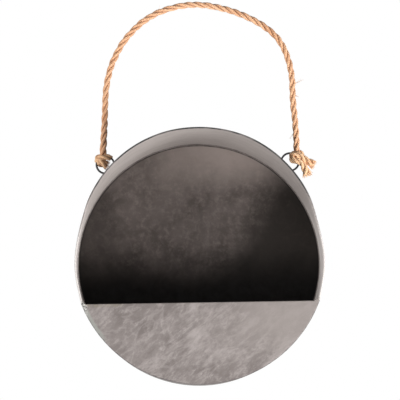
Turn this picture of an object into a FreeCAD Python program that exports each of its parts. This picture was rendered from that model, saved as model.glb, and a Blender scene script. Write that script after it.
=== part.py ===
import FreeCAD, Part
import math
import os
import Sketcher

# Round sheet-metal wall planter that hangs from a rope.
# Millimetres. +Z is up, the open front looks along -Y, and the flat back lies on the wall at Y = 0.
# The origin is the centre of the back, so the drum's axis is the Y axis.

DIMENSIONS = {
    # the drum
    "drum_diameter": 300.0,
    "drum_depth": 110.0,
    "pocket_height": 96.0,
    "sheet_thickness": 0.7,
    # turned and folded edges
    "fold_gap": 0.5,
    "rim_hem_width": 5.0,
    "plate_hem_width": 8.0,
    "plate_flange_width": 7.0,
    "back_flange_width": 7.0,
    "hem_end_gap": 1.0,
    "hem_to_flange_gap": 0.5,
    "corner_tab_height": 4.0,
    "seam_lap_width": 12.0,
    "seam_lap_inset": 3.0,
    # the wire eyes
    "eye_angle": 43.5,
    "eye_centre_height": 13.2,
    "eye_ring_radius": 10.6,
    "eye_wire_diameter": 2.4,
    "eye_bend_radius": 3.0,
    "eye_foot_length": 9.0,
    "solder_film": 0.15,
    "solder_overhang": 1.2,
    "solder_width": 5.4,
    "solder_height": 2.0,
    # the rope and its knots
    "rope_diameter": 7.0,
    "knot_diameter": 18.0,
    "knot_to_rope_gap": 0.3,
    "left_knot_out": 3.2,
    "left_knot_up": 5.4,
    "right_knot_out": 8.7,
    "right_knot_up": 5.7,
}

# The rope's route from the left knot over the crown to the right knot, as X and Z in the middle plane.
ROPE_ROUTE = [
    (-111.5, 171.0),
    (-110.0, 214.0),
    (-101.0, 246.0),
    (-83.0, 276.0),
    (-53.0, 302.0),
    (-9.0, 314.5),
    (32.0, 309.0),
    (73.0, 293.0),
    (103.5, 269.0),
    (116.5, 230.0),
    (116.5, 190.0),
    (119.5, 163.0),
]
ARC_SHARE = 0.45

# The rope's cut ends: direction out of the knot, length past the knot's centre, and widths at both ends.
ROPE_ENDS = {
    "knot_left": [("tail", (5.5, 6.0, -9.5), 14.0, 3.0, 2.6)],
    "knot_right": [
        ("upper_tail", (20.4, -2.5, -10.5), 23.0, 2.8, 4.0),
        ("lower_tail", (12.7, -1.5, -22.6), 26.0, 2.8, 4.2),
    ],
}

# The balls' seams face forward, clear of the wire and of the cut ends.
BALL_TURN = -90.0

document = FreeCAD.newDocument("WallPlanter")
sheet = document.addObject("Spreadsheet::Sheet", "Sizes")
for row, (alias, number) in enumerate(DIMENSIONS.items(), start=1):
    cell = "B" + str(row)
    sheet.set("A" + str(row), "'" + alias)
    sheet.set(cell, str(number))
    sheet.setAlias(cell, alias)
document.recompute()

# Places that follow from the driving sizes.
THICKNESS = "Sizes.sheet_thickness"
RIM_OUTER = "(Sizes.drum_diameter / 2)"
BAND_OUTER = "(" + RIM_OUTER + " - Sizes.sheet_thickness - Sizes.fold_gap)"
BAND_INNER = "(" + BAND_OUTER + " - Sizes.sheet_thickness)"
PLATE_OUTER = "(" + BAND_OUTER + " + Sizes.sheet_thickness)"
BEND_OUTER = "(2 * Sizes.sheet_thickness)"
FOLD_OUTER = "(Sizes.sheet_thickness + Sizes.fold_gap / 2)"
FOLD_INNER = "(Sizes.fold_gap / 2)"
FOLD_WIDTH = "(2 * Sizes.sheet_thickness + Sizes.fold_gap)"
POCKET_TOP = "(Sizes.pocket_height - " + RIM_OUTER + ")"
MIDDLE = "(-Sizes.drum_depth / 2)"
EYE_CENTRE = "(" + BAND_OUTER + " + Sizes.eye_centre_height)"
WIRE_LINE = "(" + BAND_OUTER + " + Sizes.solder_film + Sizes.eye_wire_diameter / 2)"
BEND_LINE = "(" + WIRE_LINE + " + Sizes.eye_bend_radius)"
RING_TO_BEND = "(Sizes.eye_ring_radius + Sizes.eye_bend_radius)"
FOOT_TURN = "(Sizes.eye_foot_length / " + WIRE_LINE + " * 180 / pi * 1 deg)"
BEND_TURN = (
    "acos((" + EYE_CENTRE + "^2 + " + BEND_LINE + "^2 - " + RING_TO_BEND + "^2)"
    " / (2 * " + EYE_CENTRE + " * " + BEND_LINE + "))"
)
RING_TURN = "(" + FOOT_TURN + " + " + BEND_TURN + ")"


def size(formula):
    """The present value of a formula over the sheet's sizes."""
    return float(sheet.evalExpression(formula))


def origin_plane(body, role):
    for feature in body.Origin.OriginFeatures:
        if feature.Role == role:
            return feature
    raise ValueError(role)


def new_body(label):
    body = document.addObject("PartDesign::Body", label)
    body.Label = label
    return body


def new_sketch(body, name, role):
    sketch = body.newObject("Sketcher::SketchObject", name)
    sketch.AttachmentSupport = [(origin_plane(body, role), "")]
    sketch.MapMode = "FlatFace"
    return sketch


def bind(sketch, constraint, name, formula):
    index = sketch.addConstraint(constraint)
    sketch.renameConstraint(index, name)
    sketch.setExpression("Constraints." + name, formula)


def pin_point(sketch, geometry, end, name, point):
    """Fix one point of a sketch at two formulas, across and up from the sketch's origin."""
    for kind, formula in zip(("DistanceX", "DistanceY"), point):
        constraint = Sketcher.Constraint(kind, -1, 1, geometry, end, size(formula))
        bind(sketch, constraint, name + "_" + kind[-1].lower(), formula)


def start_end(path, index):
    """An arc that turns right is stored from its far end."""
    bend = path[index][1]
    return 2 if bend is not None and bend[1] < 0 else 1


def finish_end(path, index):
    return 3 - start_end(path, index)


def draw(sketch, path, closed=True):
    """Draw a path of straight edges and arcs.

    Each step is a corner, as two formulas, and the edge that leaves it: None for a straight one,
    or an arc's radius as a formula, 1 where it turns to the left or -1 to the right, and its extent,
    which is "half" for a half circle, "large" for more than that, and left out for less.
    """
    corners = [FreeCAD.Vector(size(across), size(up), 0) for (across, up), _ in path]
    count = len(path) if closed else len(path) - 1
    for index in range(count):
        start = corners[index]
        finish = corners[(index + 1) % len(corners)]
        bend = path[index][1]
        if bend is None:
            sketch.addGeometry(Part.LineSegment(start, finish), False)
            pin_point(sketch, index, 1, "corner_" + str(index), path[index][0])
            continue
        radius = size(bend[0])
        side = bend[1]
        extent = bend[2] if len(bend) > 2 else "small"
        chord = finish - start
        reach = math.sqrt(max(radius ** 2 - (chord.Length / 2) ** 2, 0.0))
        normal = FreeCAD.Vector(-chord.y, chord.x, 0).normalize()
        centre = start + chord * 0.5 + normal * reach * side * (-1 if extent == "large" else 1)
        angles = [math.atan2(point.y - centre.y, point.x - centre.x) for point in (start, finish)]
        first, last = angles if side > 0 else reversed(angles)
        circle = Part.Circle(centre, FreeCAD.Vector(0, 0, 1), radius)
        sketch.addGeometry(Part.ArcOfCircle(circle, first, last), False)
        pin_point(sketch, index, start_end(path, index), "corner_" + str(index), path[index][0])
        if extent == "half":
            in_line = "Vertical" if abs(chord.x) < abs(chord.y) else "Horizontal"
            sketch.addConstraint(Sketcher.Constraint(in_line, index, 3, index, 1))
        else:
            bind(sketch, Sketcher.Constraint("Radius", index, radius), "radius_" + str(index), bend[0])
    for index in range(count if closed else count - 1):
        following = (index + 1) % len(path)
        ends = (finish_end(path, index), start_end(path, following))
        sketch.addConstraint(Sketcher.Constraint("Coincident", index, ends[0], following, ends[1]))
    if not closed:
        pin_point(sketch, count - 1, finish_end(path, count - 1), "corner_" + str(count), path[-1][0])


def revolve(body, sketch, angle=None):
    """Turn a profile on the YZ plane about the drum's axis, all round or by an angle about its middle."""
    feature = body.newObject("PartDesign::Revolution", sketch.Name + "_turned")
    feature.Profile = sketch
    feature.ReferenceAxis = (sketch, ["H_Axis"])
    if angle is None:
        feature.Angle = 360.0
    else:
        feature.Midplane = True
        feature.setExpression("Angle", angle)
    return feature


def pad(body, sketch, length, midplane=False, backwards=False):
    feature = body.newObject("PartDesign::Pad", sketch.Name + "_pad")
    feature.Profile = sketch
    feature.Midplane = midplane
    feature.Reversed = backwards
    feature.setExpression("Length", length)
    return feature


def make_back_plate():
    """A pressed disc whose edge is turned forward and fits inside the band."""
    body = new_body("back_plate")
    profile = new_sketch(body, "back_profile", "YZ_Plane")
    outer = BAND_INNER
    inner = BAND_INNER + " - " + THICKNESS
    flat = BAND_INNER + " - " + BEND_OUTER
    draw(profile, [
        (("0", "0"), None),
        (("-" + THICKNESS, "0"), None),
        (("-" + THICKNESS, flat), (THICKNESS, -1)),
        (("-" + BEND_OUTER, inner), None),
        (("-Sizes.back_flange_width", inner), None),
        (("-Sizes.back_flange_width", outer), None),
        (("-" + BEND_OUTER, outer), (BEND_OUTER, 1)),
        (("0", flat), None),
    ])
    revolve(body, profile)
    return body


def make_rim_band():
    """A rolled strip, lapped inside at the bottom, with its free front edge folded outward."""
    body = new_body("rim_band")
    front_edge = "(" + BEND_OUTER + " - Sizes.drum_depth)"
    fold_start = "(" + FOLD_OUTER + " - Sizes.drum_depth)"
    strip = new_sketch(body, "strip", "YZ_Plane")
    draw(strip, [
        (("0", BAND_INNER), None),
        (("0", BAND_OUTER), None),
        ((front_edge, BAND_OUTER), None),
        ((front_edge, BAND_INNER), None),
    ])
    revolve(body, strip)

    hem = new_sketch(body, "rim_hem", "YZ_Plane")
    lip_end = "(" + fold_start + " + Sizes.rim_hem_width)"
    lip_inner = RIM_OUTER + " - " + THICKNESS
    draw(hem, [
        ((front_edge, BAND_INNER), None),
        ((front_edge, BAND_OUTER), None),
        ((fold_start, BAND_OUTER), (FOLD_INNER, -1, "half")),
        ((fold_start, lip_inner), None),
        ((lip_end, lip_inner), None),
        ((lip_end, RIM_OUTER), None),
        ((fold_start, RIM_OUTER), (FOLD_OUTER, 1, "half")),
        ((fold_start, BAND_INNER), None),
    ])
    free_angle = "180 + 2 * asin(-" + POCKET_TOP + " / " + RIM_OUTER + ") / 1 deg"
    end_angle = "2 * Sizes.hem_to_flange_gap / " + RIM_OUTER + " * 180 / pi"
    revolve(body, hem, free_angle + " - " + end_angle)

    lap = new_sketch(body, "seam_lap", "YZ_Plane")
    lap_front = "(" + front_edge + " + Sizes.seam_lap_inset)"
    lap_back = "(-Sizes.back_flange_width - Sizes.seam_lap_inset)"
    lap_inner = "-(" + BAND_INNER + " - " + THICKNESS + ")"
    draw(lap, [
        ((lap_back, "-" + BAND_INNER), None),
        ((lap_back, lap_inner), None),
        ((lap_front, lap_inner), None),
        ((lap_front, "-" + BAND_INNER), None),
    ])
    revolve(body, lap, "Sizes.seam_lap_width / " + BAND_OUTER + " * 180 / pi")
    return body


def make_pocket_front():
    """A half-moon plate: its round edge is turned back over the band, its top edge is folded inward."""
    body = new_body("pocket_front")
    body.setExpression("Placement.Base.y", "-Sizes.drum_depth")
    fold_height = "(" + POCKET_TOP + " - " + FOLD_OUTER + ")"
    hem_foot = "(" + fold_height + " - Sizes.plate_hem_width)"
    hem_half = "(sqrt(" + BAND_INNER + "^2 - " + hem_foot + "^2) - Sizes.hem_end_gap)"
    tab_top = "(" + POCKET_TOP + " + Sizes.corner_tab_height)"
    tab_side = "sqrt(" + BAND_INNER + "^2 - " + tab_top + "^2)"

    face = new_sketch(body, "half_moon", "XZ_Plane")
    draw(face, [
        (("-" + hem_half, fold_height), None),
        (("-" + tab_side, tab_top), (BAND_INNER, 1)),
        ((tab_side, tab_top), None),
        ((hem_half, fold_height), None),
    ])
    pad(body, face, THICKNESS, backwards=True)

    edge = new_sketch(body, "turned_edge", "YZ_Plane")
    flange_inner = "-(" + PLATE_OUTER + " - " + THICKNESS + ")"
    draw(edge, [
        (("0", "-" + BAND_INNER), (BEND_OUTER, 1)),
        ((BEND_OUTER, "-" + PLATE_OUTER), None),
        (("Sizes.plate_flange_width", "-" + PLATE_OUTER), None),
        (("Sizes.plate_flange_width", flange_inner), None),
        ((BEND_OUTER, flange_inner), (THICKNESS, -1)),
        ((THICKNESS, "-" + BAND_INNER), None),
    ])
    revolve(body, edge, "180 - 2 * asin(-" + POCKET_TOP + " / " + RIM_OUTER + ") / 1 deg")

    hem = new_sketch(body, "top_hem", "YZ_Plane")
    leg_front = "(Sizes.sheet_thickness + Sizes.fold_gap)"
    draw(hem, [
        (("0", fold_height), None),
        ((THICKNESS, fold_height), (FOLD_INNER, -1, "half")),
        ((leg_front, fold_height), None),
        ((leg_front, hem_foot), None),
        ((FOLD_WIDTH, hem_foot), None),
        ((FOLD_WIDTH, fold_height), (FOLD_OUTER, 1, "half")),
    ])
    pad(body, hem, "2 * " + hem_half, midplane=True)
    return body


def polar(radius, turn):
    """A point at a radius from the drum's axis and a turn from the top, clockwise seen from the front."""
    return radius + " * sin(" + turn + ")", radius + " * cos(" + turn + ")"


def neck(bend_turn):
    """The point where a bend of the wire passes into the ring."""
    share = "Sizes.eye_ring_radius / " + RING_TO_BEND
    ends = zip(polar(BEND_LINE, bend_turn), polar(EYE_CENTRE, RING_TURN))
    return tuple(ring + " + (" + bend + " - " + ring + ") * " + share for bend, ring in ends)


def make_wire_eye(label, side):
    """A bent wire: a foot that follows the band, a bend, the ring, a bend and a second foot."""
    body = new_body(label)
    far_bend = "(" + FOOT_TURN + " + 2 * " + BEND_TURN + ")"
    far_end = "(2 * " + FOOT_TURN + " + 2 * " + BEND_TURN + ")"
    route = new_sketch(body, label + "_route", "XZ_Plane")
    draw(route, [
        (polar(WIRE_LINE, "0 deg"), (WIRE_LINE, -1)),
        (polar(WIRE_LINE, FOOT_TURN), ("Sizes.eye_bend_radius", 1)),
        (neck(FOOT_TURN), ("Sizes.eye_ring_radius", -1, "large")),
        (neck(far_bend), ("Sizes.eye_bend_radius", 1)),
        (polar(WIRE_LINE, far_bend), (WIRE_LINE, -1)),
        (polar(WIRE_LINE, far_end), None),
    ], closed=False)

    section = new_sketch(body, label + "_section", "YZ_Plane")
    wire_radius = "Sizes.eye_wire_diameter / 2"
    centre = FreeCAD.Vector(0, size(WIRE_LINE), 0)
    circle = Part.Circle(centre, FreeCAD.Vector(0, 0, 1), size(wire_radius))
    section.addGeometry(circle, False)
    pin_point(section, 0, 3, "centre", ("0", WIRE_LINE))
    bind(section, Sketcher.Constraint("Radius", 0, size(wire_radius)), "wire_radius", wire_radius)

    wire = body.newObject("PartDesign::AdditivePipe", label + "_wire")
    wire.Profile = section
    wire.Spine = (route, [])
    turn_about_drum(body, eye_angle(side) + " - " + RING_TURN)
    body.setExpression("Placement.Base.y", MIDDLE)
    return body


def eye_angle(side):
    return str(side) + " * Sizes.eye_angle * 1 deg"


def turn_about_drum(feature, turn):
    feature.Placement.Rotation = FreeCAD.Rotation(FreeCAD.Vector(0, 1, 0), 0)
    feature.setExpression("Placement.Rotation.Angle", turn)


def make_eye_solder(label, side, eye, drum_outside):
    """The two solder pools that hold an eye's feet: they fill the gap under the wire and rise beside it."""
    pools = []
    for end, direction in (("first", -1), ("second", 1)):
        pool = document.addObject("Part::Ellipsoid", label + "_" + end)
        pool.setExpression("Radius1", "Sizes.solder_height")
        pool.setExpression("Radius2", "Sizes.eye_foot_length / 2 + Sizes.solder_overhang")
        pool.setExpression("Radius3", "Sizes.solder_width / 2")
        foot_middle = "(" + RING_TURN + " - " + FOOT_TURN + " / 2)"
        turn = "(" + eye_angle(side) + " + " + str(direction) + " * " + foot_middle + ")"
        turn_about_drum(pool, turn)
        across, up = polar(BAND_OUTER, turn)
        place(pool, (across, MIDDLE, up))
        pools.append(pool)
    pair = document.addObject("Part::MultiFuse", label + "_pair")
    pair.Shapes = pools
    on_band = document.addObject("Part::Cut", label + "_on_band")
    on_band.Base = pair
    on_band.Tool = drum_outside
    solder = document.addObject("Part::Cut", label)
    solder.Label = label
    solder.Base = on_band
    solder.Tool = eye
    return solder


def make_drum_outside():
    """The space inside the band's outer face, which is taken out of what sits on the band."""
    drum = document.addObject("Part::Cylinder", "drum_outside")
    drum.setExpression("Radius", BAND_OUTER)
    drum.setExpression("Height", "Sizes.drum_depth")
    drum.Placement.Rotation = FreeCAD.Rotation(FreeCAD.Vector(1, 0, 0), 90)
    return drum


def knot_centre(side):
    """Formulas for a knot's place, beside and above the centre of the ring that it is tied to."""
    name = "right" if side > 0 else "left"
    out = "(" + EYE_CENTRE + " * sin(Sizes.eye_angle) + Sizes." + name + "_knot_out)"
    up = "(" + EYE_CENTRE + " * cos(Sizes.eye_angle) + Sizes." + name + "_knot_up)"
    return str(side) + " * " + out, MIDDLE, up


def place(feature, point):
    for axis, formula in zip("xyz", point):
        feature.setExpression("Placement.Base." + axis, formula)


def make_knot(label, side, eye):
    """A round knot tied about the ring's wire, with the rope's cut end standing out of it."""
    ball = document.addObject("Part::Sphere", label + "_ball")
    ball.setExpression("Radius", "Sizes.knot_diameter / 2")
    ball.Placement.Rotation = FreeCAD.Rotation(FreeCAD.Vector(0, 0, 1), BALL_TURN)
    place(ball, knot_centre(side))
    pieces = [ball]
    for name, direction, length, root_radius, tip_radius in ROPE_ENDS[label]:
        tail = document.addObject("Part::Cone", label + "_" + name)
        tail.Radius1 = root_radius
        tail.Radius2 = tip_radius
        tail.Height = length
        tail.Placement.Rotation = FreeCAD.Rotation(FreeCAD.Vector(0, 0, 1), FreeCAD.Vector(direction))
        place(tail, knot_centre(side))
        pieces.append(tail)
    bulk = document.addObject("Part::MultiFuse", label + "_bulk")
    bulk.Shapes = pieces
    knot = document.addObject("Part::Cut", label)
    knot.Label = label
    knot.Base = bulk
    knot.Tool = eye
    return knot


def rounded_path(points):
    """Straight runs joined by tangent arcs, each as large as its two runs allow."""
    edges = []
    radii = []
    start = points[0]
    for before, corner, after in zip(points, points[1:], points[2:]):
        arriving = (corner - before).normalize()
        leaving = (after - corner).normalize()
        reach = ARC_SHARE * min((corner - before).Length, (after - corner).Length)
        half_turn = arriving.getAngle(leaving) / 2
        radii.append(reach / math.tan(half_turn))
        enter = corner - arriving * reach
        leave = corner + leaving * reach
        inward = (leaving - arriving).normalize()
        centre = corner + inward * (radii[-1] / math.cos(half_turn))
        middle = centre - inward * radii[-1]
        edges.append(Part.LineSegment(start, enter).toShape())
        edges.append(Part.Arc(enter, middle, leave).toShape())
        start = leave
    edges.append(Part.LineSegment(start, points[-1]).toShape())
    return Part.Wire(edges), radii


def make_rope():
    """The rope between its knots, as one round tube along its route."""
    points = [FreeCAD.Vector(across, 0, up) for across, up in ROPE_ROUTE]
    stand_off = size("Sizes.knot_diameter / 2 + Sizes.knot_to_rope_gap")
    for side, neighbour in ((-1, points[0]), (1, points[-1])):
        across, _, up = knot_centre(side)
        knot = FreeCAD.Vector(size(across), 0, size(up))
        end = knot + (neighbour - knot).normalize() * stand_off
        points.insert(0 if side < 0 else len(points), end)
    path, radii = rounded_path(points)
    section_radius = size("Sizes.rope_diameter / 2")
    circle = Part.Circle(points[0], points[1] - points[0], section_radius)
    section = Part.Wire(circle.toShape())
    rope = document.addObject("Part::Feature", "rope")
    rope.Label = "rope"
    rope.Shape = path.makePipeShell([section], True, False)
    rope.Placement.Base.y = size(MIDDLE)
    expected = math.pi * section_radius ** 2 * path.Length
    print("rope radii", [round(radius, 1) for radius in radii])
    print("rope length", round(path.Length, 2), "volume share", round(rope.Shape.Volume / expected, 5))
    print("rope ends", [tuple(round(c, 2) for c in point) for point in (points[0], points[-1])])
    return rope


back_plate = make_back_plate()
rim_band = make_rim_band()
pocket_front = make_pocket_front()
wire_eye_left = make_wire_eye("wire_eye_left", -1)
wire_eye_right = make_wire_eye("wire_eye_right", 1)
drum_outside = make_drum_outside()
eye_solder_left = make_eye_solder("eye_solder_left", -1, wire_eye_left, drum_outside)
eye_solder_right = make_eye_solder("eye_solder_right", 1, wire_eye_right, drum_outside)
knot_left = make_knot("knot_left", -1, wire_eye_left)
knot_right = make_knot("knot_right", 1, wire_eye_right)
rope = make_rope()
document.recompute()

for item in document.Objects:
    if "Invalid" in item.State or "Error" in item.State:
        raise RuntimeError(item.Name + " failed: " + str(item.State))

single_parts = [
    back_plate, rim_band, pocket_front, wire_eye_left, wire_eye_right, knot_left, knot_right, rope,
]
paired_parts = [eye_solder_left, eye_solder_right]
for part in single_parts + paired_parts:
    if part.Shape.isNull() or not part.Shape.isValid():
        raise RuntimeError(part.Label + " has no valid shape")
for part in single_parts:
    if len(part.Shape.Solids) != 1:
        raise RuntimeError(part.Label + " is not one solid")
for part in paired_parts:
    if len(part.Shape.Solids) != 2:
        raise RuntimeError(part.Label + " is not two solids")

os.makedirs("parts", exist_ok=True)
for part in single_parts + paired_parts:
    part.Shape.exportStep("parts/" + part.Label + ".step")
    print(part.Label, "volume", round(part.Shape.Volume, 1))
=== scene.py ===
import math
import random

import bmesh
import bpy
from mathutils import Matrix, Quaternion, Vector, noise


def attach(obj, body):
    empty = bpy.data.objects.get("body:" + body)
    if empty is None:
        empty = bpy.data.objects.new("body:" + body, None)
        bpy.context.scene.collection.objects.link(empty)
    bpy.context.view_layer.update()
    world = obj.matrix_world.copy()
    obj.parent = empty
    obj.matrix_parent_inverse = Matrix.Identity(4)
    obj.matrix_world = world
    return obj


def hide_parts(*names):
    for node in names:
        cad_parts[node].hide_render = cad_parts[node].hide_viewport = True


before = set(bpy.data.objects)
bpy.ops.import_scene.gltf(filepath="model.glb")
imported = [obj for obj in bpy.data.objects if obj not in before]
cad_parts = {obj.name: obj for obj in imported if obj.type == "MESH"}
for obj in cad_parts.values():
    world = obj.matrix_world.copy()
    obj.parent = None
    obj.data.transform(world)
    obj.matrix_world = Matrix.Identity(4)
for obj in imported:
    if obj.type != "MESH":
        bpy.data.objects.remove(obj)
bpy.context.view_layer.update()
scene = bpy.context.scene
scene.view_settings.view_transform = "Standard"

MM = 0.001
TAU = 2 * math.pi

# ---------------------------------------------------------------- camera

CAMERA_PLACE = Vector((-0.02484, -2.33282, -0.19270))
CAMERA_PITCH = math.radians(6.649)
CAMERA_YAW = math.radians(0.675)
CAMERA_ROLL = math.radians(-0.962)
CAMERA_LENS = 171.34
SENSOR_WIDTH = 36.0
CLIP_END = 20.0


def make_camera():
    data = bpy.data.cameras.new("camera")
    data.lens = CAMERA_LENS
    data.sensor_width = SENSOR_WIDTH
    data.clip_end = CLIP_END
    camera = bpy.data.objects.new("camera", data)
    scene.collection.objects.link(camera)
    camera.location = CAMERA_PLACE
    ahead = Vector((
        math.sin(CAMERA_YAW) * math.cos(CAMERA_PITCH),
        math.cos(CAMERA_YAW) * math.cos(CAMERA_PITCH),
        math.sin(CAMERA_PITCH),
    ))
    camera.rotation_mode = "QUATERNION"
    camera.rotation_quaternion = ahead.to_track_quat("-Z", "Y") @ Quaternion((0, 0, 1), CAMERA_ROLL)
    scene.camera = camera


make_camera()

# ---------------------------------------------------------------- node helpers


class Shader:
    """Builds one material from shader nodes."""

    def __init__(self, name):
        self.material = bpy.data.materials.new(name)
        self.material.use_nodes = True
        self.nodes = self.material.node_tree.nodes
        self.links = self.material.node_tree.links
        self.surface = self.nodes["Principled BSDF"]

    def put(self, socket, value):
        """Set a socket to a number or colour, or link it to another node's socket."""
        if isinstance(value, bpy.types.NodeSocket):
            self.links.new(value, socket)
        else:
            socket.default_value = value

    def node(self, kind, **settings):
        made = self.nodes.new(kind)
        for key, value in settings.items():
            setattr(made, key, value)
        return made

    def position(self):
        return self.node("ShaderNodeTexCoord").outputs["Object"]

    def uv(self, name):
        return self.node("ShaderNodeUVMap", uv_map=name).outputs["UV"]

    def split(self, vector):
        parts = self.node("ShaderNodeSeparateXYZ")
        self.put(parts.inputs[0], vector)
        return parts.outputs

    def stretched(self, vector, scale, place=(0, 0, 0)):
        mapping = self.node("ShaderNodeMapping")
        self.put(mapping.inputs["Vector"], vector)
        mapping.inputs["Scale"].default_value = scale
        mapping.inputs["Location"].default_value = place
        return mapping.outputs["Vector"]

    def turned(self, vector, turn, scale):
        """Coordinates turned about the drum's axis and then squeezed, so that marks run one way."""
        mapping = self.node("ShaderNodeMapping", vector_type="TEXTURE")
        self.put(mapping.inputs["Vector"], vector)
        mapping.inputs["Rotation"].default_value = (0.0, turn, 0.0)
        mapping.inputs["Scale"].default_value = scale
        return mapping.outputs["Vector"]

    def noise(self, vector, scale, detail=4.0, rough=0.55, distortion=0.0):
        made = self.node("ShaderNodeTexNoise")
        self.put(made.inputs["Vector"], vector)
        made.inputs["Scale"].default_value = scale
        made.inputs["Detail"].default_value = detail
        made.inputs["Roughness"].default_value = rough
        made.inputs["Distortion"].default_value = distortion
        return made.outputs["Fac"]

    def math(self, operation, *values):
        made = self.node("ShaderNodeMath", operation=operation)
        for socket, value in zip(made.inputs, values):
            self.put(socket, value)
        return made.outputs[0]

    def step(self, value, low, high, bottom=0.0, top=1.0):
        """A smooth step from bottom to top while the value goes from low to high."""
        made = self.node("ShaderNodeMapRange", interpolation_type="SMOOTHSTEP", clamp=True)
        self.put(made.inputs["Value"], value)
        for name, number in zip(("From Min", "From Max", "To Min", "To Max"), (low, high, bottom, top)):
            made.inputs[name].default_value = number
        return made.outputs["Result"]

    def mix(self, share, first, second):
        """A colour between two; inputs 6 and 7 are the mix node's colour sockets."""
        made = self.node("ShaderNodeMix", data_type="RGBA")
        made.clamp_factor = True
        self.put(made.inputs[0], share)
        self.put(made.inputs[6], first)
        self.put(made.inputs[7], second)
        return made.outputs[2]

    def both(self, *shares):
        """The product of two or more shares."""
        product = shares[0]
        for share in shares[1:]:
            product = self.math("MULTIPLY", product, share)
        return product

    def bump(self, height, distance, strength=1.0):
        made = self.node("ShaderNodeBump")
        made.inputs["Strength"].default_value = strength
        made.inputs["Distance"].default_value = distance
        self.put(made.inputs["Height"], height)
        return made.outputs["Normal"]

    def finish(self, **values):
        for name, value in values.items():
            self.put(self.surface.inputs[name.replace("_", " ")], value)
        return self.material


def colour(red, green, blue):
    """A colour written as screen values from 0 to 255, as the shader's linear values."""
    return tuple(pow((value / 255 + 0.055) / 1.055, 2.4) for value in (red, green, blue)) + (1.0,)


# ---------------------------------------------------------------- materials

DRUM_DEPTH = 0.110

# UV maps: along and around a strand, and the rim band's radius and depth before its edge sprang out of round.
FIBRE_MAP = "along_fibre"
BAND_MAP = "unsprung_place"
BAND_MAP_RADIUS = 0.147
BAND_MAP_SPAN = 0.004

# Where marks begin and reach full strength: across the drum's radius, its depth, or upward, in metres.
PLATE_SEAM = (0.1440, 0.1462)
PLATE_EDGE = (0.1482, 0.1494)
PLATE_FRONT = (-0.1080, -0.1088)
STAIN_TOP = (-0.0585, -0.0572)
BAND_INSIDE = (0.1486, 0.1483)
HEM_FRONT = (0.1076, 0.1086)
HEM_OUTSIDE = (0.1478, 0.1484)
HEM_TIP = (0.1085, 0.1090)
BACK_CORNER = (0.1457, 0.1466)
BACK_FLANGE = (-0.0012, -0.0018)
BACK_FRONT_SIDE = (-0.0003, -0.0005)


WIPE_TURN = math.radians(52)
ZINC_DARK = colour(99, 91, 88)
ZINC_MIDDLE = colour(122, 114, 111)
ZINC_PALE = colour(154, 146, 143)
PLATE_SMOOTH = colour(134, 126, 122)
# The band's inside: tones lighter than the zinc outside, as painted light, and a darker tone for painted shade on
# its upper inside.
BAND_DARK = colour(201, 192, 188)
BAND_MIDDLE = colour(206, 198, 194)
BAND_PALE = colour(214, 207, 203)
BAND_UPPER_SHADE = colour(168, 160, 156)
EDGE_PALE = colour(224, 218, 214)
SOLDER_GREY = colour(140, 142, 136)
RUST_STAIN = colour(118, 110, 94)
# Near black: for dark specks and dark edge lines, and for painted shade in the back plate's inside corner.
GRIME_AND_SHADE = colour(26, 24, 24)
# The back plate's inside tones, darker than the zinc behind: partly its own patina, partly painted shade. Then
# painted light for the top, and painted shade for the sides and the bottom.
BACK_DARK = colour(76, 69, 66)
BACK_MIDDLE = colour(94, 86, 83)
BACK_PALE = colour(122, 113, 108)
BACK_TOP_LIGHT = colour(164, 152, 146)
BACK_SHADE = colour(26, 23, 20)
BACK_DEEP_SHADE = colour(8, 6, 5)


def drum_radius(shader, place):
    """How far a point is from the drum's axis, and its three coordinates."""
    axes = shader.split(place)
    squares = [shader.math("MULTIPLY", axes[axis], axes[axis]) for axis in (0, 2)]
    return shader.math("SQRT", shader.math("ADD", *squares)), axes


def patina(shader, place, dark, middle, pale):
    """Zinc patina: broad clouds, fine mottling and thin wiped veins. Returns its colour, height and roughness."""
    wiped = shader.turned(place, WIPE_TURN, (1.0, 1.0, 2.2))
    clouds = shader.noise(place, 17.0, 4.0, 0.6, 0.3)
    mottle = shader.noise(wiped, 125.0, 8.0, 0.82, 0.15)
    vein_field = shader.noise(wiped, 26.0, 4.0, 0.62, 0.5)
    vein = shader.step(shader.math("ABSOLUTE", shader.math("SUBTRACT", vein_field, 0.5)), 0.03, 0.0)
    tone = shader.mix(shader.step(clouds, 0.36, 0.62, 0.1, 0.9), dark, middle)
    wisps = shader.noise(wiped, 38.0, 6.0, 0.70, 0.3)
    tone = shader.mix(shader.step(wisps, 0.46, 0.70, 0.0, 0.75), tone, pale)
    tone = shader.mix(shader.step(mottle, 0.46, 0.70, 0.0, 0.9), tone, pale)
    tone = shader.mix(shader.step(mottle, 0.48, 0.34, 0.0, 0.7), tone, dark)
    tone = shader.mix(shader.math("MULTIPLY", vein, 0.3), tone, pale)
    rough = shader.step(mottle, 0.35, 0.7, 0.55, 0.70)
    return tone, mottle, rough


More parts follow.
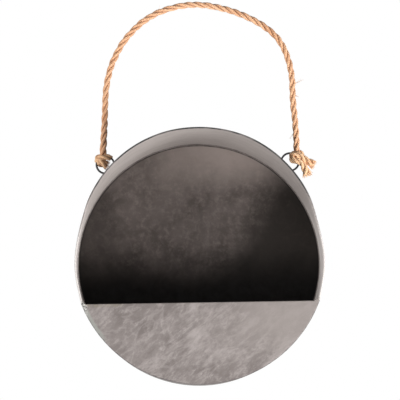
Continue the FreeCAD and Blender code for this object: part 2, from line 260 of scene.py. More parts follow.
def zinc_plate():
    """The pocket front: wiped zinc, a stain under its top edge and solder marks at its left end."""
    shader = Shader("zinc_plate")
    place = shader.position()
    radius, axes = drum_radius(shader, place)
    tone, height, rough = patina(shader, place, ZINC_DARK, ZINC_MIDDLE, ZINC_PALE)
    smooth = shader.both(shader.step(axes[0], -0.01, 0.09, 0.0, 0.75), shader.step(axes[2], -0.13, -0.08))
    tone = shader.mix(smooth, tone, PLATE_SMOOTH)
    ragged = shader.noise(place, 180.0, 4.0, 0.6)
    stain = shader.both(
        shader.step(axes[2], *STAIN_TOP), shader.step(axes[0], -0.085, -0.10),
        shader.step(ragged, 0.35, 0.6, 0.1, 0.55),
    )
    tone = shader.mix(stain, tone, RUST_STAIN)
    seam = shader.both(shader.step(radius, *PLATE_SEAM), shader.step(axes[0], -0.108, -0.118), 0.7)
    tone = shader.mix(seam, tone, SOLDER_GREY)
    specks = shader.noise(place, 520.0, 2.0, 0.5)
    corner = shader.both(shader.step(axes[0], -0.131, -0.135), shader.step(axes[2], -0.072, -0.066))
    tone = shader.mix(shader.both(corner, shader.step(specks, 0.54, 0.60)), tone, EDGE_PALE)
    tone = shader.mix(shader.both(corner, shader.step(specks, 0.44, 0.38)), tone, GRIME_AND_SHADE)
    rim = shader.both(
        shader.step(radius, *PLATE_EDGE), shader.step(ragged, 0.42, 0.62, 0.35, 0.8),
        shader.step(axes[1], *PLATE_FRONT),
    )
    tone = shader.mix(rim, tone, GRIME_AND_SHADE)
    return shader.finish(Base_Color=tone, Roughness=rough, Normal=shader.bump(height, 0.0004, 0.7))


def zinc_band():
    """The band: mottled zinc, a pale rubbed hem and a broken dark line along the hem's outer edge; its inside is
    painted lighter as painted light, paler still at the sides, and darker at the top as painted shade.
    """
    shader = Shader("zinc_band")
    place = shader.position()
    unsprung = shader.split(shader.uv(BAND_MAP))
    radius = shader.math("MULTIPLY_ADD", unsprung[0], BAND_MAP_SPAN, BAND_MAP_RADIUS)
    depth = shader.math("MULTIPLY", unsprung[1], DRUM_DEPTH)
    inside = shader.step(radius, *BAND_INSIDE)
    # Painted light: the band's inside is painted much lighter than its outside.
    tones = [
        shader.mix(inside, outer, inner)
        for outer, inner in ((ZINC_MIDDLE, BAND_DARK), (PLATE_SMOOTH, BAND_MIDDLE), (ZINC_PALE, BAND_PALE))
    ]
    tone, height, rough = patina(shader, place, *tones)
    axes = shader.split(place)
    # Painted light on the left and right inner walls of the band.
    painted_light_left = shader.step(axes[0], -0.03, -0.10, 0.0, 0.4)
    painted_light_right = shader.step(axes[0], 0.11, 0.14, 0.0, 0.7)
    painted_light_sides = shader.both(inside, shader.math("ADD", painted_light_left, painted_light_right))
    tone = shader.mix(painted_light_sides, tone, EDGE_PALE)
    # Painted shade on the upper inside of the band.
    upper = shader.both(inside, shader.step(axes[2], 0.015, 0.085, 0.0, 0.95))
    tone = shader.mix(upper, tone, BAND_UPPER_SHADE)
    streaks = shader.noise(shader.stretched(place, (0.10, 1.0, 0.10)), 260.0, 5.0, 0.7, 0.4)
    streaks = shader.both(inside, shader.step(streaks, 0.46, 0.72, 0.0, 0.45))
    tone = shader.mix(streaks, tone, ZINC_MIDDLE)
    hem = shader.both(shader.step(depth, *HEM_FRONT), shader.step(axes[2], 0.05, 0.01, 0.0, 0.7))
    tone = shader.mix(hem, tone, EDGE_PALE)
    ragged = shader.noise(place, 30.0, 3.0, 0.6)
    outer_line = shader.both(
        shader.step(radius, *HEM_OUTSIDE), shader.step(ragged, 0.36, 0.50, 0.6, 1.0),
        shader.step(axes[2], 0.055, 0.085), shader.step(depth, *HEM_TIP),
    )
    tone = shader.mix(outer_line, tone, GRIME_AND_SHADE)
    return shader.finish(Base_Color=tone, Roughness=rough, Normal=shader.bump(height, 0.0004, 0.7))


def zinc_back():
    """The back plate: plain zinc behind; inside the drum, darker zinc with painted light at the top, painted shade
    to either side, and painted shade that darkens it downward to near black.
    """
    shader = Shader("zinc_back")
    place = shader.position()
    tone, height, _ = patina(shader, place, ZINC_DARK, ZINC_MIDDLE, ZINC_PALE)
    radius, axes = drum_radius(shader, place)
    clouds = shader.noise(place, 20.0, 4.0, 0.6, 0.3)
    mottle = shader.noise(place, 110.0, 7.0, 0.76, 0.2)
    # Inside the drum the zinc is darker than behind: partly its own darker patina, partly painted shade.
    inner = shader.mix(shader.step(clouds, 0.34, 0.64), BACK_DARK, BACK_MIDDLE)
    inner = shader.mix(shader.step(mottle, 0.42, 0.74, 0.0, 0.7), inner, BACK_PALE)
    uneven = shader.math("MULTIPLY_ADD", clouds, 0.03, -0.015)
    upward = shader.math("ADD", axes[2], uneven)
    # Painted light: the upper middle of the inside is lighter.
    lit = shader.both(shader.step(upward, 0.075, 0.155, 0.0, 0.85), shader.step(axes[0], -0.085, 0.0, 0.1, 1.0))
    inner = shader.mix(lit, inner, BACK_TOP_LIGHT)
    # Painted shade towards the right and towards the left of the inside.
    rightward = shader.math("MULTIPLY_ADD", upward, -0.6, axes[0])
    inner = shader.mix(shader.step(rightward, 0.010, 0.065, 0.0, 0.85), inner, BACK_SHADE)
    leftward = shader.math("MULTIPLY_ADD", upward, 0.35, axes[0])
    inner = shader.mix(shader.step(leftward, -0.045, -0.115, 0.0, 0.6), inner, BACK_SHADE)
    # Painted shade: the inside darkens to near black towards the bottom, behind the pocket front.
    inner = shader.mix(shader.step(upward, 0.034, -0.036), inner, BACK_DEEP_SHADE)
    # Painted shade: near black in the inside corner where the back plate meets the band.
    corner = shader.both(shader.step(radius, *BACK_CORNER), shader.step(mottle, 0.36, 0.62, 0.5, 0.85))
    inner = shader.mix(corner, inner, GRIME_AND_SHADE)
    flange = shader.step(axes[1], *BACK_FLANGE)
    inner = shader.mix(flange, inner, tone)
    front_side = shader.step(axes[1], *BACK_FRONT_SIDE)
    tone = shader.mix(front_side, tone, inner)
    shader.surface.inputs["Specular IOR Level"].default_value = 0.15
    return shader.finish(
        Base_Color=tone, Roughness=shader.step(mottle, 0.3, 0.7, 0.7, 0.9),
        Normal=shader.bump(height, 0.0003, 0.6),
    )


def dark_wire():
    shader = Shader("dark_wire")
    place = shader.position()
    drawn = shader.noise(place, 700.0, 3.0, 0.6)
    spots = shader.noise(place, 260.0, 4.0, 0.6)
    tone = shader.mix(shader.step(drawn, 0.4, 0.65), colour(32, 32, 34), colour(58, 58, 60))
    tone = shader.mix(shader.step(spots, 0.62, 0.72, 0.0, 0.5), tone, colour(88, 74, 62))
    return shader.finish(
        Base_Color=tone, Metallic=0.7, Roughness=shader.step(spots, 0.4, 0.7, 0.35, 0.6),
        Normal=shader.bump(drawn, 0.0002, 0.5),
    )


def dull_solder():
    shader = Shader("dull_solder")
    place = shader.position()
    lumps = shader.noise(place, 500.0, 3.0, 0.6)
    tone = shader.mix(shader.step(lumps, 0.35, 0.65), colour(96, 96, 94), colour(158, 157, 153))
    return shader.finish(
        Base_Color=tone, Metallic=0.4, Roughness=shader.step(lumps, 0.3, 0.7, 0.35, 0.6),
        Normal=shader.bump(lumps, 0.0006, 0.8),
    )


# Painted shade for the rope's grooves between strands.
ROPE_GROOVE_SHADE = colour(138, 82, 46)
ROPE_TONES = (colour(200, 136, 92), colour(242, 188, 144), colour(255, 230, 198))
# Painted light: the knots' tones are a lighter copy of the rope's, to offset the shade inside the knots.
KNOT_LIT_TONES = (colour(236, 170, 120), colour(255, 212, 164), colour(255, 240, 212))


def rope_fibre(name, across=9.0, along=22.0, tones=ROPE_TONES, groove_shade=0.45):
    """Natural fibre: streaks along each strand, and painted shade in the grooves where fibres lie deep."""
    shader = Shader(name)
    uv = shader.uv(FIBRE_MAP)
    streaks = shader.noise(shader.stretched(uv, (across, along, 1.0)), 1.0, 4.0, 0.6, 0.2)
    hairs = shader.noise(shader.stretched(uv, (across * 4, along * 2.5, 1.0), (3.1, 1.7, 0.0)), 1.0, 3.0, 0.6)
    place = shader.position()
    patches = shader.noise(place, 45.0, 3.0, 0.5)
    dark, middle, pale = tones
    tone = shader.mix(shader.step(streaks, 0.30, 0.62), dark, middle)
    tone = shader.mix(shader.step(hairs, 0.48, 0.70, 0.0, 0.75), tone, pale)
    tone = shader.mix(shader.step(patches, 0.50, 0.68, 0.0, 0.45), tone, dark)
    facing_out = shader.math("ABSOLUTE", shader.math("SUBTRACT", shader.split(uv)[0], 0.5))
    # Painted shade: the sides of each strand that face into the grooves are darker.
    tone = shader.mix(shader.step(facing_out, 0.33, 0.24, 0.0, groove_shade), tone, ROPE_GROOVE_SHADE)
    height = shader.math("ADD", shader.math("MULTIPLY", streaks, 0.5), shader.math("MULTIPLY", hairs, 0.5))
    shader.surface.inputs["Sheen Weight"].default_value = 0.25
    shader.surface.inputs["Sheen Roughness"].default_value = 0.5
    return shader.finish(Base_Color=tone, Roughness=0.82, Normal=shader.bump(height, 0.0008, 0.9))


def give(node, material):
    """Dress a carried-over CAD node."""
    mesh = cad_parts[node].data
    mesh.materials.clear()
    mesh.materials.append(material)


# ---------------------------------------------------------------- rope

ROPE_PLANE = -0.055
ROPE_DIAMETER = 0.007
ROPE_LAY = 0.036
ROPE_SPACING = 0.0009
ROPE_INTO_KNOT = 0.0050
LAID_SHARE = 1.1
LEG_SWELL = 0.14
LEG_SWELL_LENGTH = 0.045
# Loose tufts on the right leg: root and tip, each across and up.
STRAY_TUFTS = (
    ((0.1175, 0.2120), (0.1278, 0.2180)),
    ((0.1190, 0.1990), (0.1245, 0.1976)),
    ((0.1180, 0.1550), (0.1128, 0.1465)),
)
TUFT_FIBRES = 4
TUFT_SPREAD = 0.0012
TUFT_THICKNESS = 0.00020
TUFT_DROOP = 0.2
FINE_FIBRE = 0.00008
COARSE_FIBRE = 0.00022
KNOT_LEFT = Vector((-0.114713, ROPE_PLANE, 0.122911))
KNOT_RIGHT = Vector((0.120213, ROPE_PLANE, 0.123211))
ROPE_ROUTE = [
    (-0.1141, 0.1322),
    (-0.1115, 0.1710),
    (-0.1100, 0.2140),
    (-0.1010, 0.2460),
    (-0.0830, 0.2760),
    (-0.0530, 0.3020),
    (-0.0090, 0.3145),
    (0.0320, 0.3090),
    (0.0730, 0.2930),
    (0.1035, 0.2690),
    (0.1165, 0.2300),
    (0.1165, 0.1900),
    (0.1195, 0.1630),
    (0.1200, 0.1325),
]


def smooth_line(name, points, resolution=16):
    """The points that Blender gives for a NURBS line whose control points these are."""
    curve = bpy.data.curves.new(name, "CURVE")
    curve.dimensions = "3D"
    curve.resolution_u = resolution
    spline = curve.splines.new("NURBS")
    spline.points.add(len(points) - 1)
    for point, place in zip(spline.points, points):
        point.co = (*place, 1.0)
    spline.order_u = 3
    spline.use_endpoint_u = True
    holder = bpy.data.objects.new(name, curve)
    scene.collection.objects.link(holder)
    bpy.context.view_layer.update()
    mesh = bpy.data.meshes.new_from_object(holder)
    line = [vertex.co.copy() for vertex in mesh.vertices]
    bpy.data.meshes.remove(mesh)
    bpy.data.objects.remove(holder)
    bpy.data.curves.remove(curve)
    return line


def evenly(line, spacing):
    """Points at an even spacing along a line."""
    lengths = [0.0]
    for first, second in zip(line, line[1:]):
        lengths.append(lengths[-1] + (second - first).length)
    count = max(2, round(lengths[-1] / spacing))
    points = []
    segment = 0
    for step in range(count + 1):
        wanted = lengths[-1] * step / count
        while segment < len(line) - 2 and lengths[segment + 1] < wanted:
            segment += 1
        span = lengths[segment + 1] - lengths[segment]
        share = (wanted - lengths[segment]) / span if span else 0.0
        points.append(line[segment].lerp(line[segment + 1], share))
    return points


def carried_frames(points, side=Vector((0, 1, 0))):
    """A tangent, and two directions across it that don't twist along the line."""
    frames = []
    for index, point in enumerate(points):
        before = points[max(index - 1, 0)]
        after = points[min(index + 1, len(points) - 1)]
        tangent = (after - before).normalized()
        side = (side - tangent * side.dot(tangent)).normalized()
        frames.append((point, tangent, side, tangent.cross(side)))
    return frames


def tube(mesh, rings, sides, uv_layer, around=1.0):
    """Skin rings of points into a closed tube with capped ends, with its own stretch of the fibre's UV map."""
    made = [[mesh.verts.new(point) for point in ring] for ring in rings]
    travelled = 0.0
    for index in range(len(made) - 1):
        step = (rings[index + 1][0] - rings[index][0]).length * UV_PER_METRE
        for corner in range(sides):
            following = (corner + 1) % sides
            face = mesh.faces.new((
                made[index][corner], made[index][following],
                made[index + 1][following], made[index + 1][corner],
            ))
            face.smooth = True
            low, high = corner / sides * around, (corner + 1) / sides * around
            texels = ((low, travelled), (high, travelled), (high, travelled + step), (low, travelled + step))
            for loop, texel in zip(face.loops, texels):
                loop[uv_layer].uv = texel
        travelled += step
    mesh.faces.new(reversed(made[0]))
    mesh.faces.new(made[-1])


def mesh_object(name, mesh, material):
    data = bpy.data.meshes.new(name)
    bmesh.ops.recalc_face_normals(mesh, faces=mesh.faces)
    mesh.to_mesh(data)
    mesh.free()
    data.materials.append(material)
    made = bpy.data.objects.new(name, data)
    scene.collection.objects.link(made)
    return made


STRAND_SIDES = 14
STRAND_RADIUS = 0.242
STRAND_OFFSET = 0.262
YARNS = 5
YARN_LAY_SHARE = 0.55
YARN_RIDGE = 0.07
STRAND_SWELL = 0.14
STRAND_SLIP = 0.5
STRAND_FLECK = 0.05
HAIR_STEPS = 5
HAIR_SIDES = 3
HAIR_SIDE = Vector((0.3, 0.9, 0.2))
UV_PER_METRE = 60.0


def add_strands(mesh, uv_layer, points, width, lay, seed, widths):
    """Three twisted strands laid round a line of points, each with the ridges of its own yarns."""
    frames = carried_frames(points)
    for strand in range(3):
        rings = []
        travelled = 0.0
        for index, (point, tangent, side, up) in enumerate(frames):
            if index:
                travelled += (point - frames[index - 1][0]).length
            here = width * widths[index]
            swell = 1 + STRAND_SWELL * noise.noise(Vector((travelled * 70, strand * 7.3, seed)))
            slip = STRAND_SLIP * noise.noise(Vector((travelled * 28, 3.7, seed)))
            angle = slip + TAU * (travelled / lay + strand / 3)
            outward = side * math.cos(angle) + up * math.sin(angle)
            heading = (tangent * lay + outward.cross(tangent) * (-TAU * STRAND_OFFSET * here)).normalized()
            across = heading.cross(outward)
            centre = point + outward * STRAND_OFFSET * here
            ring = []
            for corner in range(STRAND_SIDES):
                around = TAU * corner / STRAND_SIDES
                ridge = 1 + YARN_RIDGE * math.cos(YARNS * around + TAU * travelled / (lay * YARN_LAY_SHARE))
                fleck = 1 + STRAND_FLECK * noise.noise(Vector((travelled * 700, corner * 1.9, seed + strand)))
                reach = STRAND_RADIUS * here * swell * ridge * fleck
                ring.append(centre + (outward * math.cos(around) + across * math.sin(around)) * reach)
            rings.append(ring)
        tube(mesh, rings, STRAND_SIDES, uv_layer)


def small_ring(point, side, up, reach, sides):
    """Points round a fibre."""
    return [
        point + (side * math.cos(TAU * corner / sides) + up * math.sin(TAU * corner / sides)) * reach
        for corner in range(sides)
    ]


def add_hair(mesh, uv_layer, root, direction, length, thickness, droop, draw):
    """One stray fibre: a thin bent three-sided tube that tapers to its tip."""
    points = []
    bend = Vector((draw.uniform(-1, 1), draw.uniform(-1, 1), draw.uniform(-1, 1))) * droop
    for step in range(HAIR_STEPS + 1):
        share = step / HAIR_STEPS
        points.append(root + direction * (length * share) + bend * (length * share * share))
    frames = carried_frames(points, HAIR_SIDE)
    rings = [
        small_ring(point, side, up, thickness * (1 - 0.75 * index / HAIR_STEPS), HAIR_SIDES)
        for index, (point, _, side, up) in enumerate(frames)
    ]
    tube(mesh, rings, HAIR_SIDES, uv_layer, 0.2)


def add_fuzz(mesh, uv_layer, points, width, per_metre, draw, longest=0.008, thickness=FINE_FIBRE):
    """Stray fibres that lift off the rope, most of them lying nearly along it."""
    frames = carried_frames(points)
    total = sum((second - first).length for first, second in zip(points, points[1:]))
    for _ in range(round(total * per_metre)):
        point, tangent, side, up = frames[draw.randrange(len(frames))]
        angle = draw.uniform(0, TAU)
        outward = side * math.cos(angle) + up * math.sin(angle)
        way = tangent * draw.choice((-1, 1)) + outward * draw.uniform(0.05, 0.6) ** 1.5
        root = point + outward * width * 0.42
        add_hair(mesh, uv_layer, root, way.normalized(), draw.uniform(0.002, longest),
                 draw.uniform(0.5, 1.0) * thickness, draw.uniform(0.1, 0.5), draw)


def new_rope_mesh():
    mesh = bmesh.new()
    return mesh, mesh.loops.layers.uv.new(FIBRE_MAP)


rope_material = rope_fibre("rope_fibre")
fuzz_material = rope_fibre("rope_fuzz", 3.0, 4.0, groove_shade=0.0)
# The knot material is painted light: lighter tones and less painted shade in the grooves than the rope's.
knot_material = rope_fibre("rope_knot", tones=KNOT_LIT_TONES, groove_shade=0.3)


def make_rope():
    """The free arch of the rope, from knot to knot."""
    route = [Vector((across, ROPE_PLANE, up)) for across, up in ROPE_ROUTE]
    line = smooth_line("rope_line", route)
    line.insert(0, line[0] + (line[0] - line[1]).normalized() * ROPE_INTO_KNOT)
    line.append(line[-1] + (line[-1] - line[-2]).normalized() * ROPE_INTO_KNOT)
    points = evenly(line, ROPE_SPACING)
    mesh, uv_layer = new_rope_mesh()
    slack = [
        1 + LEG_SWELL * max(0.0, 1 - index * ROPE_SPACING / LEG_SWELL_LENGTH)
        for index in range(len(points))
    ]
    add_strands(mesh, uv_layer, points, ROPE_DIAMETER * LAID_SHARE, ROPE_LAY, 3.0, slack)
    rope = mesh_object("rope_arch", mesh, rope_material)

    draw = random.Random(11)
    mesh, uv_layer = new_rope_mesh()
    add_fuzz(mesh, uv_layer, points, ROPE_DIAMETER, 900, draw)
    add_fuzz(mesh, uv_layer, points, ROPE_DIAMETER, 60, draw, 0.007, COARSE_FIBRE)
    for root, tip in STRAY_TUFTS:
        root, tip = (Vector((across, ROPE_PLANE, up)) for across, up in (root, tip))
        for _ in range(TUFT_FIBRES):
            way = tip - root + Vector([draw.uniform(-1, 1) for _ in range(3)]) * TUFT_SPREAD
            add_hair(mesh, uv_layer, root, way.normalized(), way.length, TUFT_THICKNESS, TUFT_DROOP, draw)
    fuzz = mesh_object("rope_stray_fibres", mesh, fuzz_material)

    for piece in (rope, fuzz):
        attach(piece, "hanger")
    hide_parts("rope")


make_rope()

# ---------------------------------------------------------------- knots

KNOT_ROPE = 0.0074
KNOT_LAY = 0.030
KNOT_SPACING = 0.0007
END_OPENING = 0.40
END_REACH = 28
BRUSH_WIDTH = KNOT_ROPE * 1.3
BRUSH_FIBRES = 140
BRUSH_SIDES = 4

# The rope's way through each knot, in millimetres from the knot's centre.
LEFT_WRAPS = [
    (0.5, 0.5, 6.0), (0.0, 2.5, 1.0), (1.0, 4.0, -3.0), (3.0, 0.5, -4.6), (0.5, -4.2, -3.8), (-4.2, -5.0, -0.8),
    (-6.2, -1.0, 2.8), (-4.2, 4.0, 4.2), (3.0, 5.0, 4.6), (8.5, 2.5, 4.0), (8.8, -1.5, 2.8), (4.5, -4.8, 2.6),
    (-1.5, -6.0, 2.2), (-5.8, -3.5, 1.0), (-5.8, 1.0, -2.0), (-2.5, 4.5, -3.8), (2.0, 5.5, -4.0), (3.5, 6.3, -4.8),
]
RIGHT_WRAPS = [
    (17.8, -2.5, -9.0), (12.5, -3.5, -6.2), (7.5, -4.5, -2.2), (2.0, -5.8, 2.2), (-5.0, -4.2, 3.6), (-7.0, 0.5, 0.3),
    (-5.0, 4.5, -4.0), (1.5, 5.0, -4.8), (6.0, 2.0, 0.0), (5.0, 0.0, 5.0), (-0.5, 3.5, 5.4), (-5.8, 0.0, 3.2),
    (-5.8, -4.5, -2.0), (-1.5, -6.8, -4.6), (4.2, -6.0, -7.0), (8.8, -4.0, -13.5), (11.3, -2.0, -20.5),
]


def opened(count):
    """Widths that swell over the last stretch before a cut end, where the strands open."""
    return [1 + END_OPENING * max(0.0, 1 - (count - 1 - index) / END_REACH) ** 1.5 for index in range(count)]


def add_brush(mesh, uv_layer, root, way, width, fibres, draw):
    """A frayed end: loose fibres that fan out from the rope's cut end."""
    way = way.normalized()
    side = way.cross(Vector((0, 1, 0))).normalized()
    up = way.cross(side).normalized()
    for _ in range(fibres):
        angle = draw.uniform(0, TAU)
        reach = math.sqrt(draw.random())
        outward = side * math.cos(angle) + up * math.sin(angle)
        start = root - way * 0.002 + outward * reach * width * 0.46
        end = root + way * draw.uniform(0.0005, 0.0042) + outward * reach * width * draw.uniform(0.5, 0.75)
        middle = start.lerp(end, 0.5) + outward * draw.uniform(-0.0005, 0.0005)
        points = evenly([start, middle, end], 0.0015)
        frames = carried_frames(points, HAIR_SIDE)
        thick = draw.uniform(0.00014, 0.0003)
        rings = [
            small_ring(point, across, over, thick * (1 - 0.5 * index / len(frames)), BRUSH_SIDES)
            for index, (point, _, across, over) in enumerate(frames)
        ]
        tube(mesh, rings, BRUSH_SIDES, uv_layer, 0.3)


def make_knot(node, centre, wraps, cut_ends, seed):
    """A tied knot with its frayed cut ends, in the place of the CAD's ball and cones."""
    draw = random.Random(seed)
    mesh, uv_layer = new_rope_mesh()
    line = smooth_line(node + "_way", [centre + Vector(place) * MM for place in wraps], 8)
    points = evenly(line, KNOT_SPACING)
    widths = [1.0] * len(points)
    swell = opened(len(points))
    if "finish" in cut_ends:
        widths = [width * extra for width, extra in zip(widths, swell)]
    if "start" in cut_ends:
        widths = [width * extra for width, extra in zip(widths, reversed(swell))]
    add_strands(mesh, uv_layer, points, KNOT_ROPE, KNOT_LAY, seed, widths)
    if "finish" in cut_ends:
        add_brush(mesh, uv_layer, points[-1], points[-1] - points[-4], BRUSH_WIDTH, BRUSH_FIBRES, draw)
    if "start" in cut_ends:
        add_brush(mesh, uv_layer, points[0], points[0] - points[3], BRUSH_WIDTH, BRUSH_FIBRES, draw)
    add_fuzz(mesh, uv_layer, points, KNOT_ROPE, 1500, draw, 0.005)
    add_fuzz(mesh, uv_layer, points, KNOT_ROPE, 250, draw, 0.004, COARSE_FIBRE)
    knot = mesh_object(node + "_tied", mesh, knot_material)
    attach(knot, "planter")
    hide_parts(node)


make_knot("knot_left", KNOT_LEFT, LEFT_WRAPS, ("finish",), 5)
make_knot("knot_right", KNOT_RIGHT, RIGHT_WRAPS, ("start", "finish"), 9)

# ---------------------------------------------------------------- rim

RIM_OUTER = 0.1500
SHEET = 0.0007
FOLD_GAP = 0.0005
BAND_OUTER = RIM_OUTER - SHEET - FOLD_GAP
BAND_INNER = BAND_OUTER - SHEET
HEM_WIDTH = 0.005
HEM_END = math.radians(110.9)
LAP_WIDTH = 0.012
LAP_DEPTHS = (-0.0100, -0.1056)
BAND_STATIONS = (0.0, -0.035, -0.07, -0.09)
RIM_STEPS = 480
SPRING_FADE = 2.3
RIM_WAVE = 0.0005
CREASE = math.radians(40)

# How far the free edge has sprung out of round: degrees from the top, and millimetres outward.
RIM_SPRING = [
    (0, 3.7), (15, 3.6), (25, 3.1), (35, 2.1), (45, 0.6), (55, -1.2), (63, -2.7), (70, -4.6),
    (76, -5.3), (82, -4.8), (90, -3.4), (98, -2.6), (105, -2.1), (109, -1.1), (113, 0.0), (180, 0.0),
]


def spring(angle):
    """The free edge's offset at an angle, on a smooth curve through RIM_SPRING."""
    degrees = abs(math.degrees(angle))
    slopes = [0.0]
    for (before, first), (after, last) in zip(RIM_SPRING, RIM_SPRING[2:]):
        slopes.append((last - first) / (after - before))
    slopes.append(0.0)
    for index, ((low, first), (high, last)) in enumerate(zip(RIM_SPRING, RIM_SPRING[1:])):
        if degrees <= high:
            span = high - low
            t = (degrees - low) / span
            value = (
                first * (2 * t ** 3 - 3 * t ** 2 + 1) + last * (3 * t ** 2 - 2 * t ** 3)
                + slopes[index] * span * (t ** 3 - 2 * t ** 2 + t) + slopes[index + 1] * span * (t ** 3 - t ** 2)
            )
            return value * MM
    return 0.0


def hem_profile():
    """The band's cross-section with its front edge folded outward, as depth and radius, going round once."""
    fold_start = -DRUM_DEPTH + SHEET + FOLD_GAP / 2
    fold_radius = BAND_OUTER + FOLD_GAP / 2
    outline = [(depth, BAND_OUTER) for depth in BAND_STATIONS]
    outline += [(fold_start + HEM_WIDTH, BAND_OUTER), (fold_start, BAND_OUTER)]
    for step in range(1, 4):
        turn = math.pi * step / 4
        outline.append((fold_start - math.sin(turn) * FOLD_GAP / 2, fold_radius - math.cos(turn) * FOLD_GAP / 2))
    outline += [(fold_start, BAND_OUTER + FOLD_GAP), (fold_start + HEM_WIDTH, BAND_OUTER + FOLD_GAP)]
    outline += [(fold_start + HEM_WIDTH, RIM_OUTER), (fold_start, RIM_OUTER)]
    for step in range(1, 8):
        turn = math.pi * step / 8
        reach = SHEET + FOLD_GAP / 2
        outline.append((fold_start - math.sin(turn) * reach, fold_radius + math.cos(turn) * reach))
    outline.append((fold_start, BAND_INNER))
    return outline + [(depth, BAND_INNER) for depth in reversed(BAND_STATIONS)]


def plain_profile(outline):
    """The same points drawn in to a strip without the fold."""
    front = 2 * SHEET - DRUM_DEPTH
    return [(max(depth, front), min(radius, BAND_OUTER)) for depth, radius in outline]


def band_point(angle, depth, radius):
    """A point of the band after its free edge has sprung: round at the back, out of round at the front."""
    share = (-depth / DRUM_DEPTH) ** SPRING_FADE
    free = abs(angle) < HEM_END
    wave = noise.noise(Vector((math.cos(angle) * 3.1, math.sin(angle) * 3.1, 7.0))) * RIM_WAVE * free
    out = radius + (spring(angle) + wave) * share
    return out * math.sin(angle), depth, out * math.cos(angle)


def sweep(mesh, unsprung, angles, outline_at, closed):
    """Carry a cross-section round the drum, and write each face corner's unsprung place to the UV map."""
    outlines = [outline_at(angle) for angle in angles]
    rings = [
        [mesh.verts.new(band_point(angle, depth, radius)) for depth, radius in outline]
        for angle, outline in zip(angles, outlines)
    ]
    texels = [
        [((radius - BAND_MAP_RADIUS) / BAND_MAP_SPAN, -depth / DRUM_DEPTH) for depth, radius in outline]
        for outline in outlines
    ]
    count = len(outlines[0])
    for index in range(len(rings) if closed else len(rings) - 1):
        beyond = (index + 1) % len(rings)
        for corner in range(count):
            beside = (corner + 1) % count
            way = ((index, corner), (beyond, corner), (beyond, beside), (index, beside))
            face = mesh.faces.new([rings[ring][place] for ring, place in way])
            face.smooth = True
            for loop, (ring, place) in zip(face.loops, way):
                loop[unsprung].uv = texels[ring][place]
    if not closed:
        mesh.faces.new(rings[0])
        mesh.faces.new(reversed(rings[-1]))


def make_band(material):
    """The rim band with its fold and its lapped seam, sprung out of round at the free edge."""
    folded = hem_profile()
    straight = plain_profile(folded)
    mesh = bmesh.new()
    unsprung = mesh.loops.layers.uv.new(BAND_MAP)
    angles = [math.radians(-180 + step * 360 / RIM_STEPS) for step in range(RIM_STEPS)]
    angles += [side * HEM_END for side in (-1, 1)] + [side * (HEM_END + 0.0015) for side in (-1, 1)]
    angles.sort()
    sweep(mesh, unsprung, angles, lambda angle: folded if abs(angle) <= HEM_END + 0.0001 else straight, True)
    lap = [(depth, radius) for depth in LAP_DEPTHS for radius in (BAND_INNER, BAND_INNER - SHEET)]
    lap = [lap[0], lap[1], lap[3], lap[2]]
    half = LAP_WIDTH / 2 / BAND_OUTER
    sweep(mesh, unsprung, [math.pi - half + half * step / 3 for step in range(7)], lambda angle: lap, False)
    band = mesh_object("rim_band_sprung", mesh, material)
    crease = band.modifiers.new("crease", "EDGE_SPLIT")
    crease.split_angle = CREASE
    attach(band, "planter")
    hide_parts("rim_band")


# ---------------------------------------------------------------- metal

give("pocket_front", zinc_plate())
make_band(zinc_band())
give("back_plate", zinc_back())
wire_material = dark_wire()
solder_material = dull_solder()
for eye in ("left", "right"):
    give("wire_eye_" + eye, wire_material)
    give("eye_solder_" + eye, solder_material)

# ---------------------------------------------------------------- studio

WHITE = (1, 1, 1, 1)
FLOOR_TONE = (0.85, 0.85, 0.85, 1)
FLOOR_WHITE_SHARE = 0.8
FLOOR_HEIGHT = -1.7
FLOOR_WIDTH = 30.0
LAMP_TARGET = Vector((0, -0.05, 0))
WORLD_STRENGTH = 0.20
WORLD_SEEN_STRENGTH = 1.0


def background_rays(nodes, links):
    """One for the rays that show the background: to the camera, mirrored and through glass."""
    path = nodes.new("ShaderNodeLightPath")
    seen = path.outputs["Is Camera Ray"]
    for ray in ("Is Glossy Ray", "Is Transmission Ray"):
        either = nodes.new("ShaderNodeMath")
        either.operation = "MAXIMUM"
        links.new(seen, either.inputs[0])
        links.new(path.outputs[ray], either.inputs[1])
        seen = either.outputs[0]
    return seen


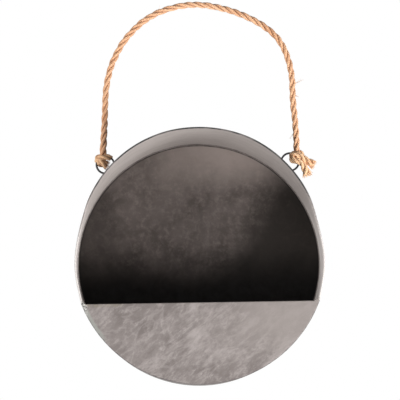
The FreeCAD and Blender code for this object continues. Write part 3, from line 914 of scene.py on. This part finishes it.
def pale_floor():
    """A matt floor that looks nearly white to the camera and still takes shadows."""
    material = bpy.data.materials.new("pale_floor")
    material.use_nodes = True
    nodes, links = material.node_tree.nodes, material.node_tree.links
    nodes.clear()
    output = nodes.new("ShaderNodeOutputMaterial")
    chosen = nodes.new("ShaderNodeMixShader")
    matt = nodes.new("ShaderNodeBsdfDiffuse")
    matt.inputs["Color"].default_value = FLOOR_TONE
    white = nodes.new("ShaderNodeEmission")
    white.inputs["Color"].default_value = WHITE
    white.inputs["Strength"].default_value = 1.0
    share = nodes.new("ShaderNodeMath")
    share.operation = "MULTIPLY"
    share.inputs[1].default_value = FLOOR_WHITE_SHARE
    links.new(background_rays(nodes, links), share.inputs[0])
    links.new(share.outputs[0], chosen.inputs[0])
    links.new(matt.outputs[0], chosen.inputs[1])
    links.new(white.outputs[0], chosen.inputs[2])
    links.new(chosen.outputs[0], output.inputs[0])
    return material


def add_floor():
    mesh = bmesh.new()
    bmesh.ops.create_grid(mesh, x_segments=1, y_segments=1, size=FLOOR_WIDTH / 2)
    floor = mesh_object("floor", mesh, pale_floor())
    floor.location = (0, 0, FLOOR_HEIGHT)


add_floor()


def add_lamp(name, place, size, power):
    data = bpy.data.lights.new(name, "AREA")
    data.shape = "DISK"
    data.size = size
    data.energy = power
    lamp = bpy.data.objects.new(name, data)
    scene.collection.objects.link(lamp)
    lamp.location = place
    aim = LAMP_TARGET - Vector(place)
    lamp.rotation_mode = "QUATERNION"
    lamp.rotation_quaternion = aim.to_track_quat("-Z", "Y")


add_lamp("low_front", (0.75, -1.25, -0.85), 0.9, 16)
add_lamp("right", (1.5, -0.77, -0.34), 0.8, 27)
add_lamp("left", (-1.55, -1.1, -0.2), 1.0, 26)


def light_world():
    """A soft even light that is seen as plain white."""
    world = bpy.data.worlds.new("studio")
    world.use_nodes = True
    nodes, links = world.node_tree.nodes, world.node_tree.links
    background = nodes["Background"]
    background.inputs["Color"].default_value = WHITE
    level = nodes.new("ShaderNodeMapRange")
    links.new(background_rays(nodes, links), level.inputs["Value"])
    level.inputs["To Min"].default_value = WORLD_STRENGTH
    level.inputs["To Max"].default_value = WORLD_SEEN_STRENGTH
    links.new(level.outputs["Result"], background.inputs["Strength"])
    scene.world = world


light_world()
